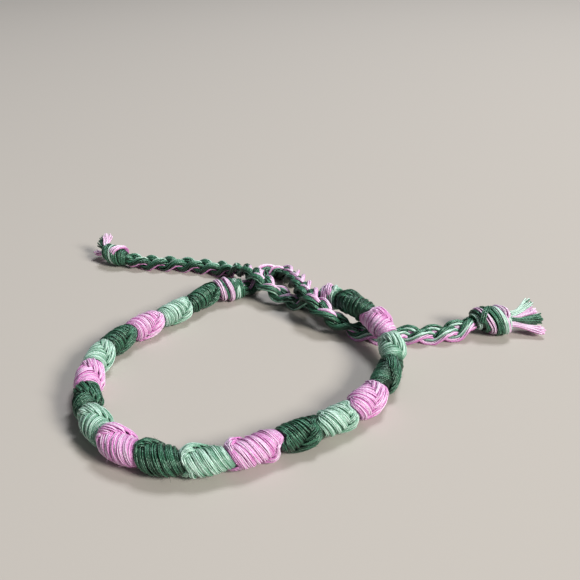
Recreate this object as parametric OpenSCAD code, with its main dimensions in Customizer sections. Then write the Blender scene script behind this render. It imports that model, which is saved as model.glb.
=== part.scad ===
// Knotted cord bracelet of dark green, mint and pink cotton floss, lying on a flat surface.
// A bundle of floss is wrapped all the way in half hitches, whose crossings make a row that
// winds round the band. Nineteen sections of one colour follow each other. Past a start knot at
// each end the loose floss is plaited into a tie with an end knot and a short tassel, and the
// two ties cross twice at the back, as in the first half of a bow.
// Millimetres, +Z up. The origin is the middle of the loop, on the surface that it lies on.

/* [Band] */
// Mean diameter of the band over its wraps, without the row of hitches
band_d = 4.5; // [4.3:0.1:4.7]
// How far the winding row of hitches stands out of the wraps
row_h = 0.55; // [0.3:0.05:0.6]
// Length of band in which the row of hitches winds round once
row_turn = 6.5; // [6:0.5:9]
// Angle round the band that the row of hitches covers
row_angle = 130; // [100:5:160]
// Length of band that one hitch takes
hitch_pitch = 1.1; // [1.05:0.05:1.4]
// Depth of the groove between two wraps
wrap_groove = 0.14; // [0.05:0.01:0.2]
// Depth by which a section draws in at each of its ends
shoulder = 0.2; // [0.1:0.05:0.3]
// Diameter of the bundle of floss inside the wraps
core_d = 2.8; // [2.4:0.1:2.9]

/* [Ties] */
// Diameter of one of the three strands in a plait
strand_d = 1.2; // [1:0.05:1.2]
// Sideways throw of a strand from the middle of the plait
plait_throw = 1.5; // [1.5:0.05:1.7]
// Rise of a strand above or below the middle of the plait
plait_rise = 0.8; // [0.8:0.01:0.9]
// Length in which a strand of the left tie comes back to its place
left_turn = 13.5; // [13.5:0.5:16]
// Length in which a strand of the right tie comes back to its place
right_turn = 15; // [13.5:0.5:18]

/* [Knots and tassels] */
// Diameter of the two start knots, next to the band
start_knot_d = 5.3; // [4.8:0.1:5.4]
// Diameter of the end knot of the left tie
left_knot_d = 5.1; // [4.6:0.1:5.2]
// Diameter of the end knot of the right tie
right_knot_d = 5.9; // [5.2:0.1:6]
// Depth of the grooves between the turns of a knot
knot_groove = 0.3; // [0.1:0.05:0.4]
// Diameter of one lock of a tassel
lock_d = 1.5; // [1.2:0.1:1.6]

/* [Hidden] */
// Clearance between two pieces that meet
gap = 0.12;
// Clearance all round between the inner bundle and the wraps
core_gap = 0.16;

dark_green = "#1f5340";
mint = "#a3dcc2";
pink = "#ef9fdb";

// Spots on the middle line of the whole cord, from the left tassel to the right one.
END_KNOT_LEFT = [[-37.4, 50.4, 2.8], [-34.4, 48.7, 2.7]];
TIE_LEFT = [
    [-31.3, 47.6, 2.3], [-28, 47, 1.6], [-23.5, 46.5, 1.44], [-18.5, 45.9, 1.44], [-13.5, 44.9, 1.44],
    [-9.5, 43.6, 1.5], [-6, 41.8, 2], [-3.8, 39.4, 3], [-1.8, 36.6, 4.2], [0, 33.7, 4.8],
    [1.9, 30.9, 4.7], [3.9, 28.6, 3.9], [6.2, 27.6, 2.6], [8.6, 27, 1.6], [10.8, 25.9, 1.5],
    [12.6, 25.1, 1.9], [14.2, 24.4, 2.9]
];
START_KNOT_RIGHT = [[15.7, 23.7, 4], [17.6, 22.2, 4.7]];
// One spot for each end of a section, from section_01 round the front to section_19
BAND = [
    [19.3, 20.2, 5.2], [24.3, 12.9, 5.9], [27.5, 6.1, 4.9], [28, -0.5, 3.5], [25.8, -8.2, 2.95],
    [20.1, -15.8, 2.9], [13.8, -20.2, 2.9], [6.8, -24.2, 2.9], [-1.1, -28.2, 2.9],
    [-8.3, -29.2, 2.9], [-15.2, -27.4, 2.9], [-21.3, -22.8, 2.9], [-25.2, -16.8, 2.9],
    [-27.2, -10, 2.9], [-28, -2.8, 2.9], [-26.8, 4.4, 2.9], [-23.3, 10.6, 2.9],
    [-18.4, 16.2, 2.9], [-13.2, 22, 2.9], [-7.7, 29, 2.9]
];
START_KNOT_LEFT = [[-5, 30, 2.8]];
TIE_RIGHT = [
    [-2.3, 31, 2.3], [-0.5, 33.2, 1.6], [0.8, 36.2, 1.44], [1.7, 39, 1.44], [2.9, 40.9, 1.46],
    [4.9, 41.8, 1.5], [6.9, 40.9, 1.7], [8.1, 38.7, 2.2], [9.4, 34, 3.4], [10.6, 29, 4.6],
    [11.5, 25.4, 5.1], [12.5, 21.4, 5.6], [13.8, 18.2, 5.4], [15.7, 16.2, 4.4], [18, 15.2, 3],
    [20.5, 14.3, 1.9], [23.7, 12.8, 1.5], [27.4, 11.7, 1.44], [31, 12.2, 1.44], [34.5, 11.8, 1.44],
    [38, 12.2, 1.44], [41, 12.6, 1.6], [43.8, 13.7, 2.1]
];
END_KNOT_RIGHT = [[46.4, 14.9, 2.75], [50.2, 15.1, 3.05], [54, 14.9, 3.05]];

// Columns: colour, mean diameter against band_d, angle of the row of hitches at the start
GIRTH = 1;
ROW_START = 2;
SECTIONS = [
    [dark_green, 0.96, 200], [pink, 0.98, 339], [mint, 0.98, 299], [dark_green, 1, 332], [pink, 1.04, 166],
    [mint, 1, 180], [dark_green, 1, 267], [pink, 1.03, 270], [mint, 0.96, 43], [dark_green, 1.03, 353],
    [pink, 1.04, 350], [mint, 1, 170], [dark_green, 0.98, 100], [pink, 1.02, 36], [mint, 0.98, 240],
    [dark_green, 0.96, 100], [pink, 1.02, 200], [mint, 0.96, 105], [dark_green, 0.94, 60]
];

// Columns: tip of the lock and how far its middle hangs below a straight line
TIP = 0;
SAG = 1;
LOCKS_LEFT = [[[-37.6, 55.2, 4.6], 0.2], [[-40.6, 55, 3.2], 0.3], [[-42, 52.4, 1.3], 0.4]];
LOCKS_RIGHT = [
    [[60.3, 18.9, 4.8], 0.3], [[61, 17.3, 3.3], 0.3], [[61.6, 15.5, 2.4], 0.4], [[62, 13.2, 0.95], 0.4]
];

band_sides = 12;
core_sides = 8;
strand_sides = 8;
knot_sides = 12;
lock_sides = 8;
// Rings in one length of a plait after which its strands are back in their places
rings_per_turn = 12;
knot_rings = 10;
lock_rings = 3;
// Turns of floss that show along a knot
knot_turns = 3;
// Length and diameter of the round head of a tassel, and how far its locks draw it in
head_l = 0.8;
head_d = 3.4;
head_taper = 0.85;
// Diameter of a lock at its root against lock_d
root_share = 0.8;
// How far the roots of the locks lie from the middle of the head, against their tips
root_spread = 0.06;
// Diameter of a knot's ends
knot_end_d = 4.2;
// Two short lengths along the cord that give its direction
small_step = 0.05;

// The middle line as one smooth curve, measured in millimetres along the cord

LINE = concat(
    END_KNOT_LEFT, TIE_LEFT, START_KNOT_RIGHT, BAND, START_KNOT_LEFT, TIE_RIGHT, END_KNOT_RIGHT
);
SPANS = [for (i = [0:len(LINE) - 2]) norm(LINE[i + 1] - LINE[i])];
function sum_to(values, count) = count == 0 ? 0 : values[count - 1] + sum_to(values, count - 1);
REACH = [for (i = [0:len(LINE) - 1]) sum_to(SPANS, i)];
REACH_TABLE = [for (i = [0:len(LINE) - 1]) [REACH[i], i]];

function slope_at(i) =
    i == 0 ? (LINE[1] - LINE[0]) / SPANS[0]
    : i == len(LINE) - 1 ? (LINE[i] - LINE[i - 1]) / SPANS[i - 1]
    : ((LINE[i + 1] - LINE[i]) * SPANS[i - 1] / SPANS[i] + (LINE[i] - LINE[i - 1]) * SPANS[i] / SPANS[i - 1])
        / (SPANS[i - 1] + SPANS[i]);
SLOPES = [for (i = [0:len(LINE) - 1]) slope_at(i)];

// The spot at a distance s along the cord
function spot(s) =
    let(i = min(floor(lookup(s, REACH_TABLE)), len(LINE) - 2))
    let(h = SPANS[i], t = (s - REACH[i]) / h)
    LINE[i] * (2 * t ^ 3 - 3 * t ^ 2 + 1) + SLOPES[i] * h * (t ^ 3 - 2 * t ^ 2 + t)
        + LINE[i + 1] * (3 * t ^ 2 - 2 * t ^ 3) + SLOPES[i + 1] * h * (t ^ 3 - t ^ 2);

// The cord's direction, its left side and its upper side there
function unit(v) = v / norm(v);
function heading(s) = unit(spot(s + small_step) - spot(s - small_step));
function left_of(s) = unit(cross([0, 0, 1], heading(s)));
function above(s) = cross(heading(s), left_of(s));

// Where the pieces begin along the cord
tie_left_from = REACH[len(END_KNOT_LEFT)];
tie_left_to = REACH[len(END_KNOT_LEFT) + len(TIE_LEFT)];
band_first = len(END_KNOT_LEFT) + len(TIE_LEFT) + len(START_KNOT_RIGHT);
band_last = band_first + len(BAND) - 1;
tie_right_index = band_last + len(START_KNOT_LEFT) + 1;
tie_right_from = REACH[tie_right_index];
tie_right_to = REACH[tie_right_index + len(TIE_RIGHT)];
cord_end = REACH[len(LINE) - 1];

// Rings of points and the skins between them

function ring(centre, side, up, radii) =
    [for (k = [0:len(radii) - 1]) let(a = 360 * k / len(radii)) centre + radii[k] * (cos(a) * side + sin(a) * up)];
function cord_ring(s, radii) = ring(spot(s), left_of(s), above(s), radii);
function even(radius, sides) = [for (k = [1:sides]) radius];
function flat_list(lists) = [for (list = lists, item = list) item];
// Two triangles for each facet between ring i and ring j
function skin(i, j, sides) = [
    for (k = [0:sides - 1], half = [0, 1])
        let(next = (k + 1) % sides)
        half == 0 ? [i * sides + k, j * sides + next, i * sides + next]
        : [i * sides + k, j * sides + k, j * sides + next]
];

// A solid with closed ends through a list of rings
module swept(rings) {
    sides = len(rings[0]);
    last = len(rings) - 1;
    skins = flat_list([for (i = [0:last - 1]) skin(i, i + 1, sides)]);
    ends = [[for (k = [0:sides - 1]) k], [for (k = [sides - 1:-1:0]) last * sides + k]];
    polyhedron(flat_list(rings), concat(skins, ends), convexity = 6);
}

// A tube with flat ends: rings outside, then the rings of its bore in the other direction
module bored(outside, bore) {
    rings = concat(outside, [for (i = [len(bore) - 1:-1:0]) bore[i]]);
    sides = len(rings[0]);
    skins = flat_list([for (i = [0:len(rings) - 1]) skin(i, (i + 1) % len(rings), sides)]);
    polyhedron(flat_list(rings), skins, convexity = 6);
}

// Band

function signed(angle) = let(a = angle % 360) a > 180 ? a - 360 : a < -180 ? a + 360 : a;
// Height of the row of hitches at a distance along a section, at an angle round it
function row_height(section, along, angle) =
    let(off = signed(angle - section[ROW_START] + 360 * along / row_turn))
    abs(off) < row_angle / 2 ? row_h * (1 + cos(off * 360 / row_angle)) / 2 : 0;

module section(number) {
    section = SECTIONS[number];
    from = REACH[band_first + number] + gap / 2;
    to = REACH[band_first + number + 1] - gap / 2;
    steps = 2 * round((to - from) / hitch_pitch);
    mean = band_d * section[GIRTH] / 2;
    outside = [
        for (i = [0:steps])
            let(along = (to - from) * i / steps)
            let(drop = i == 0 || i == steps ? shoulder : i % 2 == 0 ? wrap_groove : 0)
            cord_ring(from + along, [
                for (k = [0:band_sides - 1])
                    mean - drop + row_height(section, along, 360 * k / band_sides)
            ])
    ];
    bore = [for (s = [from, to]) cord_ring(s, even(core_d / 2 + core_gap, band_sides))];
    color(section[0]) bored(outside, bore);
}

module core() {
    from = REACH[band_first] + gap;
    to = REACH[band_last] - gap;
    stops = [for (i = [band_first:band_last]) max(from, min(to, REACH[i]))];
    color(mint) swept([for (s = stops) cord_ring(s, even(core_d / 2, core_sides))]);
}

// Ties

// One strand of a three-strand plait: it swings from side to side, over the middle on its
// way across and under it on its way back, and is level where it crosses another
module strand(from, to, turn, third) {
    count = ceil((to - from) / turn * rings_per_turn);
    function rise(phase) = plait_rise * max(-1, min(1, sin(2 * phase) / sin(120)));
    function middle(s) =
        let(phase = 360 * ((s - from) / turn + third / 3))
        spot(s) + plait_throw * cos(phase) * left_of(s) + rise(phase) * above(s);
    rings = [
        for (i = [0:count])
            let(s = from + (to - from) * i / count)
            let(ahead = unit(middle(s + small_step) - middle(s - small_step)), ends = i == 0 || i == count)
            let(side = ends ? left_of(s) : unit(cross([0, 0, 1], ahead)))
            ring(middle(s), side, ends ? above(s) : cross(ahead, side), even(strand_d / 2, strand_sides))
    ];
    color([mint, pink, dark_green][third]) swept(rings);
}

module tie_left(third) strand(tie_left_from + 2 * gap, tie_left_to - 2 * gap, left_turn, third);
module tie_right(third) strand(tie_right_from + 2 * gap, tie_right_to - 2 * gap, right_turn, third);

// Knots

// A knot drawn tight: a barrel whose turns of floss lie askew round it
module knot(from, to, diameter, tint) {
    rings = [
        for (i = [0:knot_rings])
            let(t = i / knot_rings, swell = sin(180 * t) ^ 0.5)
            cord_ring(from + (to - from) * t, [
                for (k = [0:knot_sides - 1])
                    let(groove = knot_groove * (1 - cos(360 * (knot_turns * t + k / knot_sides))) / 2)
                    (knot_end_d + (diameter - knot_end_d) * swell) / 2 - groove * swell
            ])
    ];
    color(tint) swept(rings);
}

module start_knot_right() knot(tie_left_to + gap / 2, REACH[band_first] - gap / 2, start_knot_d, pink);
module start_knot_left() knot(REACH[band_last] + gap / 2, tie_right_from - gap / 2, start_knot_d, mint);
module end_knot_left() knot(gap / 2, tie_left_from - gap / 2, left_knot_d, dark_green);
module end_knot_right() knot(tie_right_to + gap / 2, cord_end - gap / 2, right_knot_d, dark_green);

// Tassels

// A lock of cut floss from its root to its tip, a little thinner at the root
module lock(root, tip, sag) {
    ahead = unit(tip - root);
    side = unit(cross([0, 0, 1], ahead));
    swept([
        for (i = [0:lock_rings])
            let(t = i / lock_rings)
            ring(root + (tip - root) * t - [0, 0, 4 * sag * t * (1 - t)], side, cross(ahead, side),
                 even(lock_d / 2 * (root_share + (1 - root_share) * t), lock_sides))
    ]);
}

// Locks fused to a short round head that faces the end knot
module tassel(s, outwards, locks, tint) {
    head = [for (x = [gap, gap + head_l]) spot(s) + outwards * x * heading(s)];
    widths = [head_d, head_d * head_taper];
    color(tint) {
        swept([for (i = [0, 1]) ring(head[i], left_of(s) * outwards, above(s), even(widths[i] / 2, knot_sides))]);
        for (row = locks)
            lock((head[0] + head[1]) / 2 + root_spread * (row[TIP] - spot(s)), row[TIP], row[SAG]);
    }
}

module tassel_left() tassel(0, -1, LOCKS_LEFT, dark_green);
module tassel_right() tassel(cord_end, 1, LOCKS_RIGHT, pink);

for (i = [0:len(SECTIONS) - 1])
    section(i);
core();
start_knot_left();
start_knot_right();
tie_left(0);  // tie_left_strand_a
tie_left(1);  // tie_left_strand_b
tie_left(2);  // tie_left_strand_c
tie_right(0);  // tie_right_strand_a
tie_right(1);  // tie_right_strand_b
tie_right(2);  // tie_right_strand_c
end_knot_left();
end_knot_right();
tassel_left();
tassel_right();
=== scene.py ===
"""Woven bracelet: the floss of a knotted cotton bracelet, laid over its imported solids."""

import math

import bpy
import numpy as np
from bpy.props import FloatProperty, IntProperty, PointerProperty, StringProperty
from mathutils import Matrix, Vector


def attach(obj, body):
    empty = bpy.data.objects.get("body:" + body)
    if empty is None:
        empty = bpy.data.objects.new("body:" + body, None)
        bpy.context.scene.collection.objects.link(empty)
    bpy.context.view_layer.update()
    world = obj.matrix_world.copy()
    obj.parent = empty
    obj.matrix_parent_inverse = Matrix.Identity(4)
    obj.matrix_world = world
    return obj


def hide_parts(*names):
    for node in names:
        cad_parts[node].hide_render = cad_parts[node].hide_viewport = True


bl_info = {
    "name": "Woven bracelet",
    "version": (1, 0, 0),
    "blender": (4, 5, 0),
    "location": "View3D > Sidebar > Bracelet",
    "description": "Wraps, plaits, knots and tassels of a cotton floss bracelet",
    "category": "Add Mesh",
}

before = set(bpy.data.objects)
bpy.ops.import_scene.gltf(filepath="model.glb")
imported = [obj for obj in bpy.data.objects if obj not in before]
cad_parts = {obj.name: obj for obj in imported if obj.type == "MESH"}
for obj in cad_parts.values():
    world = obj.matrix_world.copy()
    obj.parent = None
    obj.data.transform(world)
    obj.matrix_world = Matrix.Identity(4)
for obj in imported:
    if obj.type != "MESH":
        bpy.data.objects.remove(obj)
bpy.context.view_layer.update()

# One millimetre in metres: tables and sizes are in millimetres
MM = 0.001

# Spots on the cord's middle line, from the left tassel to the right one
END_KNOT_LEFT = [(-37.4, 50.4, 2.8), (-34.4, 48.7, 2.7)]
TIE_LEFT = [
    (-31.3, 47.6, 2.3), (-28, 47, 1.6), (-23.5, 46.5, 1.44), (-18.5, 45.9, 1.44),
    (-13.5, 44.9, 1.44), (-9.5, 43.6, 1.5), (-6, 41.8, 2), (-3.8, 39.4, 3), (-1.8, 36.6, 4.2),
    (0, 33.7, 4.8), (1.9, 30.9, 4.7), (3.9, 28.6, 3.9), (6.2, 27.6, 2.6), (8.6, 27, 1.6),
    (10.8, 25.9, 1.5), (12.6, 25.1, 1.9), (14.2, 24.4, 2.9),
]
START_KNOT_RIGHT = [(15.7, 23.7, 4), (17.6, 22.2, 4.7)]
BAND = [
    (19.3, 20.2, 5.2), (24.3, 12.9, 5.9), (27.5, 6.1, 4.9), (27.7, -0.5, 3.5), (24.8, -8.2, 2.95),
    (19.3, -15.9, 2.9), (13.5, -20.3, 2.9), (6.8, -24.2, 2.9), (-1.1, -28.2, 2.9),
    (-8.3, -29.2, 2.9), (-15.2, -27.4, 2.9), (-21.3, -22.8, 2.9), (-25.2, -16.8, 2.9),
    (-27.2, -10, 2.9), (-28, -2.8, 2.9), (-26.8, 4.4, 2.9), (-23.3, 10.6, 2.9),
    (-18.4, 16.2, 2.9), (-13.2, 22, 2.9), (-7.7, 29, 2.9),
]
START_KNOT_LEFT = [(-5, 30, 2.8)]
TIE_RIGHT = [
    (-2.3, 31, 2.3), (-0.5, 33.2, 1.6), (0.8, 36.2, 1.44), (1.7, 39, 1.44), (2.9, 40.9, 1.46),
    (4.9, 41.8, 1.5), (6.9, 40.9, 1.7), (8.1, 38.7, 2.2), (9.4, 34, 3.4), (10.6, 29, 4.6),
    (11.5, 25.4, 5.1), (12.5, 21.4, 5.6), (13.8, 18.2, 5.4), (15.7, 16.2, 4.4), (18, 15.2, 3),
    (20.5, 14.3, 1.9), (23.7, 12.8, 1.5), (27.4, 11.7, 1.44), (31, 12.2, 1.44), (34.5, 11.8, 1.44),
    (38, 12.2, 1.44), (41, 12.6, 1.6), (43.8, 13.7, 2.1),
]
END_KNOT_RIGHT = [(46.4, 14.9, 2.75), (50.2, 15.1, 3.05), (54, 14.9, 3.05)]

DARK, PINK, MINT = "dark_green_floss", "pink_floss", "mint_floss"
COLOURS = [DARK, PINK, MINT]
UPWARDS = np.array([0.0, 0.0, 1.0])

# Outline of a strand, of radius one: five corners, one of them on its crest
STRAND_CORNERS = np.radians(90 + np.arange(5) * 360 / 5)
STRAND_OUTLINE = np.stack([np.cos(STRAND_CORNERS), np.sin(STRAND_CORNERS)], 1)
# Least and greatest thickness of a strand against the usual one
STRAND_SIZES = (0.92, 1.08)
# Stretch of the fibres' pattern, in mm, in which each strand starts somewhere
FIBRE_PLACES = (0, 50)
# How far a strand strays in a flat and a round floss, against its diameter, and over what length
STRAY_FLAT, STRAY_ROUND, STRAY_WAVE = 0.3, 0.12, 1.8 * MM
# Painted light on a strand of a flat floss, how much it varies, over what length, and how much of it the
# outermost strands lose to painted shade
STRAND_LIGHT, SHADE_STRAY, SHADE_WAVE, SIDE_SHADE = 0.84, 0.2, 2.5 * MM, 0.22
# How much darker, in painted shade, than its top the sides of a round floss are, and again its underside
ROUND_SHADE = 0.2
# Radians that a round floss and each of its strands turn by chance, and over what length
FLOSS_TURN, FLOSS_TURN_WAVE = 0.5, 6 * MM
STRAND_TURN, STRAND_TURN_WAVE = 0.3, 3 * MM
# Height at which the floss rests on the floor
FLOOR_GAP = 0.01 * MM

# Loose fibres of each section, their diameter and points, their length, its least and greatest
# share, and the points of floss at each end that they keep clear of
HAIRS, HAIR_D, HAIR_POINTS = 16, 0.05 * MM, 6
HAIR_LENGTH, HAIR_LENGTHS = 0.9 * MM, (0.5, 1.3)
HAIR_FREE_ENDS = 10
# How far they leave and curl sideways and rise, against their length, and how much they taper
HAIR_ASIDE, HAIR_CURL, HAIR_RISES, HAIR_THINNING = 0.5, 0.3, (0.15, 0.5), 0.5

# Angle round the band about which the wraps lean, and the gap kept at each end of a section
LEAN_FROM = 25
END_GAP = 0.1 * MM
# How far inside a section its outermost turns lie, against the floss's width
OUTER_TURN = 0.45
# How far the turns start before a section and end after it, past their hidden crossings
TURNS_OVER = 0.45 * MM
# Turns that would pass an end crowd together over this length, and start this much inside it
CROWD_LENGTH, CROWD_START = 0.3 * MM, 0.05 * MM
# How much of a hitch's way forward shows in the edge between two colours
JOINT_SHARE = 0.38
# How deep the turns dive at a section's ends, over what length they do, and over what length the crossings
# reach their full height and the floss its full painted light
DIVE, DIVE_LENGTH, RISE_LENGTH, SHADE_LENGTH = 0.55 * MM, 0.7 * MM, 1.6 * MM, 0.8 * MM
# Share of a hitch over which a section's floss comes up at first and goes down at last, and how
# deep it starts and ends
END_SHARE, END_DEPTH = 0.4, 0.9 * MM
# How unevenly the turns lie along the band and off it, and over how many turns
UNEVEN_ALONG, UNEVEN_ALONG_TURNS = 0.1 * MM, 1.3
UNEVEN_OFF, UNEVEN_OFF_TURNS = 0.08 * MM, 1.7
# Painted light on floss that is level with the band, the least painted light in the dips, the rise between
# no light and full light, and the painted light at a section's very end, where shade falls
LEVEL_LIGHT, DIP_LIGHT, LIT_RISE, END_LIGHT = 0.8, 0.1, 0.55 * MM, 0.25

# Bed under the wraps: how deep it lies against the floss's height, how much slimmer it is at its
# ends, how late it slims, its rings and the degrees between their points
BED_DEPTH, BED_SLIMMING, BED_SLIMMING_POWER = 0.68, 0.19, 6
BED_RINGS, BED_STEP = 14, 12.0
# Distances in mm between a bed's rings and their points in its UV map
BED_UV = (0.4, 0.35)

# Core: its diameter, its gap at each end, its turn in radians per mm, its rings, its flosses and
# the points on each, and the depth and the flatness of the grooves between them
CORE_D, CORE_GAP, CORE_TURN, CORE_RINGS = 2.8 * MM, 0.1 * MM, 0.12, 220
CORE_FLOSSES, CORE_FLOSS_POINTS = 9, 3
CORE_GROOVE, CORE_GROOVE_POWER = 0.2, 0.7

# Knots: strands of a ring or loop and their diameter
KNOT_STRANDS, KNOT_STRAND_D = 9, 0.3 * MM
# A ring starts at this angle, turns this far, and has this many points; a loop has fewer
RING_START, RING_SWEEP, RING_POINTS, LOOP_POINTS = 280, 372, 40, 26
# How far in mm a loop's ends sink into the knot, and how sudden that is
LOOP_SINK, LOOP_SINK_POWER = 0.9, 4
# Bed of a knot: radius at its ends and gain in the middle in mm, rings, degrees between their
# points, and the share of the knot where it starts and that it takes
KNOT_BED = (1.25, 0.55)
KNOT_BED_RINGS, KNOT_BED_STEP = 10, 15.0
KNOT_BED_PLACE = (0.03, 0.94)

# Plaits: how far in mm each strand swings sideways and up and down
PLAIT_THROW, PLAIT_RISE = 1.15, 0.8
# Length in mm in which a strand swings over and back
SWING_LEFT, SWING_RIGHT = 13.5, 15
# Flosses of a strand, in the order of COLOURS.
# Columns: sideways and upwards in mm off the strand's middle, width in mm before and after the
# stretch of PLAIT_CHANGE
FLOSSES_LEFT = [(0.0, 0.0, 1.8, 1.6), (0.4, -0.62, 0.5, 1.0), (-0.5, 0.55, 0.45, 0.55)]
FLOSSES_RIGHT = [(-0.25, 0.15, 1.6, 1.6), (0.68, -0.42, 0.95, 0.95), (0.5, 0.32, 0.7, 0.7)]
# Stretch of a tie, in mm from its start, over which its flosses change width
PLAIT_CHANGE = (24, 34)
# Where a tie's colours turn over: mm along the tie, degrees
TURNS_LEFT = [(0, 0), (22, 0), (34, 120), (62, 180)]
TURNS_RIGHT = [(0, 180), (44, 180), (50, 60), (56, 0), (90, 0)]
# Distance of a floss from its strand's middle at a quarter turn, against that at none
QUARTER_TURN = 0.6
# Height of a floss against its width
PLAIT_FLATNESS = 0.8
# How far in mm the plait runs on inside the knots, how close its strands lie there, and over how
# many times that length they open
PLAIT_TUCK, PLAIT_TIGHT, PLAIT_OPENING = 1.4, 0.35, 3
# Where in their swing two strands cross, one at its highest and one at its lowest
PLAIT_CROSSING = math.radians(60)
# Distance between a plait's rings, diameter and distance in mm of the strands of its flosses, the
# least number of them, and the length in which they twist once
PLAIT_STEP = 0.45 * MM
PLAIT_STRAND_D, PLAIT_STRAND_STEP, PLAIT_LEAST_STRANDS = 0.36, 0.34, 3
PLAIT_TWIST = 11 * MM

# Tassels: strands in each lock of cut floss, their diameter and points, and how thin they get
LOCK_STRANDS, LOCK_STRAND_D, LOCK_POINTS, LOCK_TAPER = 12, 0.36 * MM, 16, 0.85
# How far inside the knot a lock starts, and how far out towards its tip's side
LOCK_ROOT, LOCK_SPREAD = 0.6 * MM, 0.34
# How far strands stray over their whole length, in their bend and at their tips
LOCK_STRAY, LOCK_SWING, TIP_STRAY = 0.31 * MM, 0.1 * MM, 0.12 * MM
# Least and greatest length in mm by which a strand is cut longer than its lock
CUT_LENGTHS = (-0.3, 0.25)
# Bend of a lock's strands: length along the cord, share of the way before the tip, growth of the
# swing until there, and sag
LOCK_STRAIGHT, LOCK_BEND, LOCK_SWING_GROWTH, LOCK_SAG = 2.4 * MM, 0.35, 1.6, 0.3 * MM
# Least height of a strand's tip and other points, against the diameter of a wrap's strand
TIP_REST, LOCK_REST = 0.6, 0.55

# Seeds of the random draws, each changed by a section's, plait's or knot's own numbers
SECTION_SEED, PLAIT_SEED, KNOT_SEED = 100, 500, 7

# Weight of streaks against patches of dye, depth of the plies against the fibres, and radians
# that the plies turn in a millimetre along a strand and in one round it
STREAKS, PLY_DEPTH = 0.75, 0.22
PLY_ALONG, PLY_ROUND = 10.0, 6.28

# Stage, in metres. Lights: name, place, watts, colour
FLOOR_SIZE = 3.0
LIGHTS = [
    ("window", (0.35, 0.6, 1.25), 11.5, "#f6f8ff"), ("lamp", (1.02, -0.76, 0.8), 24.8, "#fffaf4"),
]
LIGHT_SIZE, ROOM_LIGHT = 0.4, 0.15
# Camera: place in mm, degrees that it looks down, sensor width in mm, focal length and frame width
# in pixels, and clipping in metres
CAMERA_PLACE, CAMERA_DOWN = (8.6, -120.2, 78.7), 26.9
SENSOR_WIDTH, FOCAL_PIXELS, FRAME_PIXELS = 36.0, 750, 580
CAMERA_CLIP = (0.01, 10)

# Sections of one colour, from the right start knot to the left one.
# Columns: colour, mean diameter against the band's, angle round the band where the row of knots
# starts, length in mm in which it winds round once
SECTIONS = [
    (DARK, 0.96, 180, 12), (PINK, 0.98, 180, 12), (MINT, 0.98, 210, 12), (DARK, 1.0, 178, 18),
    (PINK, 1.04, 176, 11), (MINT, 1.0, 122, 9), (DARK, 1.0, 112, 14), (PINK, 1.03, 55, 12),
    (MINT, 0.96, -30, 12), (DARK, 1.03, -15, 12), (PINK, 1.04, -36, 12), (MINT, 1.0, -60, 12),
    (DARK, 0.98, -80, 12), (PINK, 1.02, -44, 12), (MINT, 0.98, -20, 12), (DARK, 0.94, 20, 12),
    (PINK, 1.0, 40, 12), (MINT, 0.94, 70, 12), (DARK, 0.9, 100, 12),
]

# Edges between two colours that lie past the section's end: edge, mm
JOINT_SLIPS = {4: 1.0}

# One half hitch, from where its floss comes out under the row to where it next does.
# Columns: share of the hitch, way forward against the reach of its crossing, lift off the band in
# mm, width and height against the floss's own
HITCH = [
    (0.000, 0.00, 0.05, 0.90, 1.05),
    (0.015, 0.07, 0.38, 0.95, 1.15),
    (0.040, 0.27, 0.58, 0.95, 1.20),
    (0.070, 0.58, 0.60, 0.95, 1.20),
    (0.098, 0.86, 0.42, 0.92, 1.10),
    (0.120, 1.02, 0.10, 0.90, 1.00),
    (0.150, 1.04, -0.18, 1.00, 0.95),
    (0.220, 0.95, -0.14, 1.05, 0.95),
    (0.320, 0.82, 0.04, 1.05, 1.00),
    (0.420, 0.69, 0.17, 1.05, 1.05),
    (0.550, 0.52, 0.22, 1.05, 1.05),
    (0.680, 0.35, 0.16, 1.05, 1.00),
    (0.780, 0.22, 0.02, 1.00, 1.00),
    (0.880, 0.08, -0.14, 0.95, 0.95),
    (0.960, -0.03, -0.28, 0.90, 0.90),
]
# The crossing's share of a hitch, and the share of a hitch's rings that it takes
CROSSING = 0.13
CROSSING_RINGS = 0.32

# Rings of floss round a knot.
# Columns: way along the knot, lean each way, angle at which the ring lies furthest along, radius,
# width and height of the floss, colour
RINGS_START_LEFT = [
    (0.8, 0.7, 240, 1.95, 1.3, 1.3, PINK), (1.7, 0.8, 238, 2.0, 0.7, 0.8, DARK),
    (2.6, 0.8, 235, 2.2, 1.2, 1.3, PINK), (3.5, 0.7, 236, 2.1, 1.0, 0.8, DARK),
    (4.3, 0.5, 240, 2.0, 1.1, 0.9, MINT), (5.1, 0.3, 240, 1.8, 1.2, 0.9, DARK),
]
RINGS_START_RIGHT = [
    (0.5, 0.3, 210, 1.6, 1.1, 0.8, DARK), (1.3, 0.6, 205, 2.1, 1.3, 0.9, PINK),
    (2.3, 0.7, 212, 2.25, 1.4, 1.0, PINK), (3.2, 0.6, 210, 2.1, 1.0, 0.9, DARK),
    (4.0, 0.4, 210, 2.05, 1.2, 0.8, MINT), (4.7, 0.2, 210, 1.75, 0.9, 0.8, DARK),
]
RINGS_END_LEFT = [
    (0.7, 0.4, 230, 1.45, 1.2, 0.9, DARK), (1.7, 0.7, 226, 1.85, 1.4, 1.0, DARK),
    (2.7, 0.7, 234, 1.9, 0.7, 0.8, MINT), (3.5, 0.7, 230, 1.9, 1.3, 1.0, DARK),
    (4.5, 0.6, 238, 1.8, 1.4, 1.0, DARK), (5.5, 0.4, 230, 1.6, 1.2, 0.9, DARK),
    (6.2, 0.3, 230, 1.3, 0.9, 0.8, DARK),
]
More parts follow.
